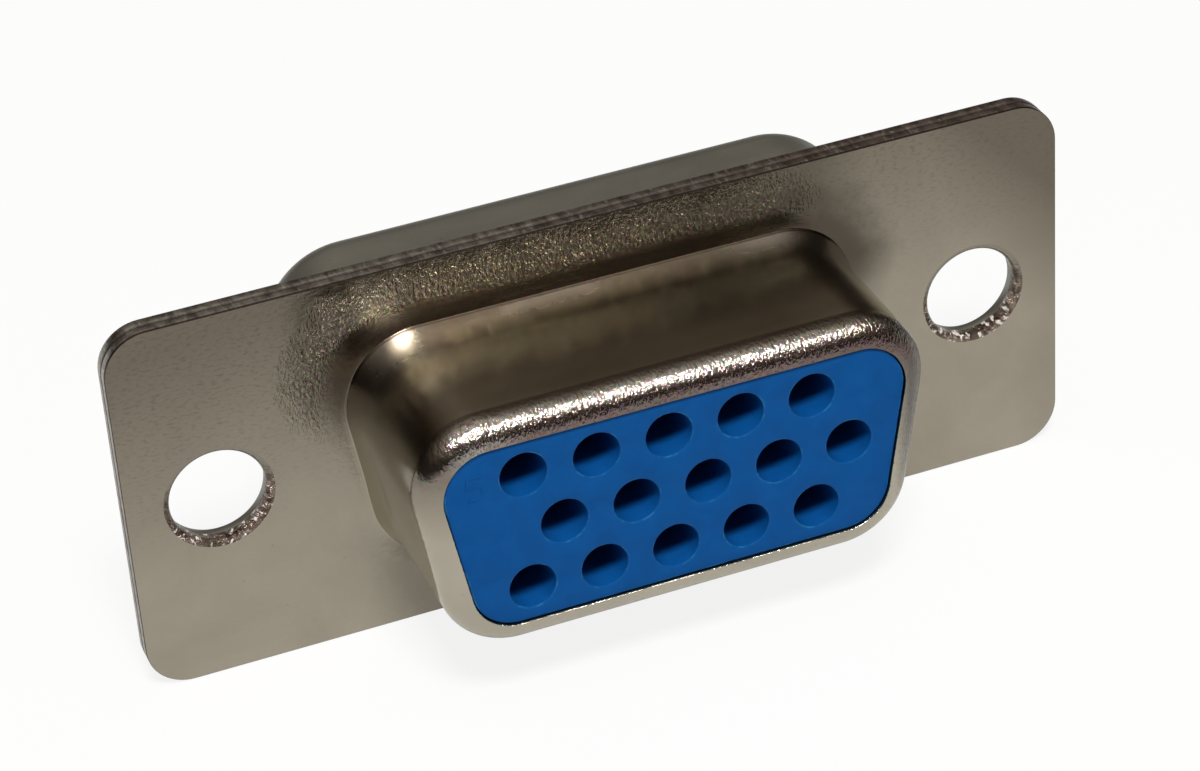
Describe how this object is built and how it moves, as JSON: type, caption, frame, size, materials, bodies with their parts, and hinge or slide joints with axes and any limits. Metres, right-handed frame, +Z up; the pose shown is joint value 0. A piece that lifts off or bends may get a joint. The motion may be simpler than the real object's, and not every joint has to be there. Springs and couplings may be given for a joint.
{
  "type": "d-sub connector",
  "caption": "High-density D-shaped socket connector with a plated steel shell, a flange with two screw holes, a blue moulding and solder-cup contacts",
  "frame": {"origin": "centre of the flange's mating face, midway between the two screw holes", "axes": "X along the flange, Z up with the wide side of the D on top, mating side towards -Y"},
  "size_m": [0.0308, 0.0142, 0.0126],
  "materials": {
    "shell_plate": "satin plated steel",
    "rear_plate": "satin plated steel",
    "blue_moulding": "satin",
    "rear_moulding": "satin",
    "contact_gold": "gold plated"
  },
  "bodies": {
    "root": {"front_shell": "shell_plate", "rear_shell": "rear_plate", "front_insulator": "blue_moulding", "rear_insulator": "rear_moulding", "contact_01": "contact_gold", "contact_02": "contact_gold", "contact_03": "contact_gold", "contact_04": "contact_gold", "contact_05": "contact_gold", "contact_06": "contact_gold", "contact_07": "contact_gold", "contact_08": "contact_gold", "contact_09": "contact_gold", "contact_10": "contact_gold", "contact_11": "contact_gold", "contact_12": "contact_gold", "contact_13": "contact_gold", "contact_14": "contact_gold", "contact_15": "contact_gold"}
  },
  "joints": []
}
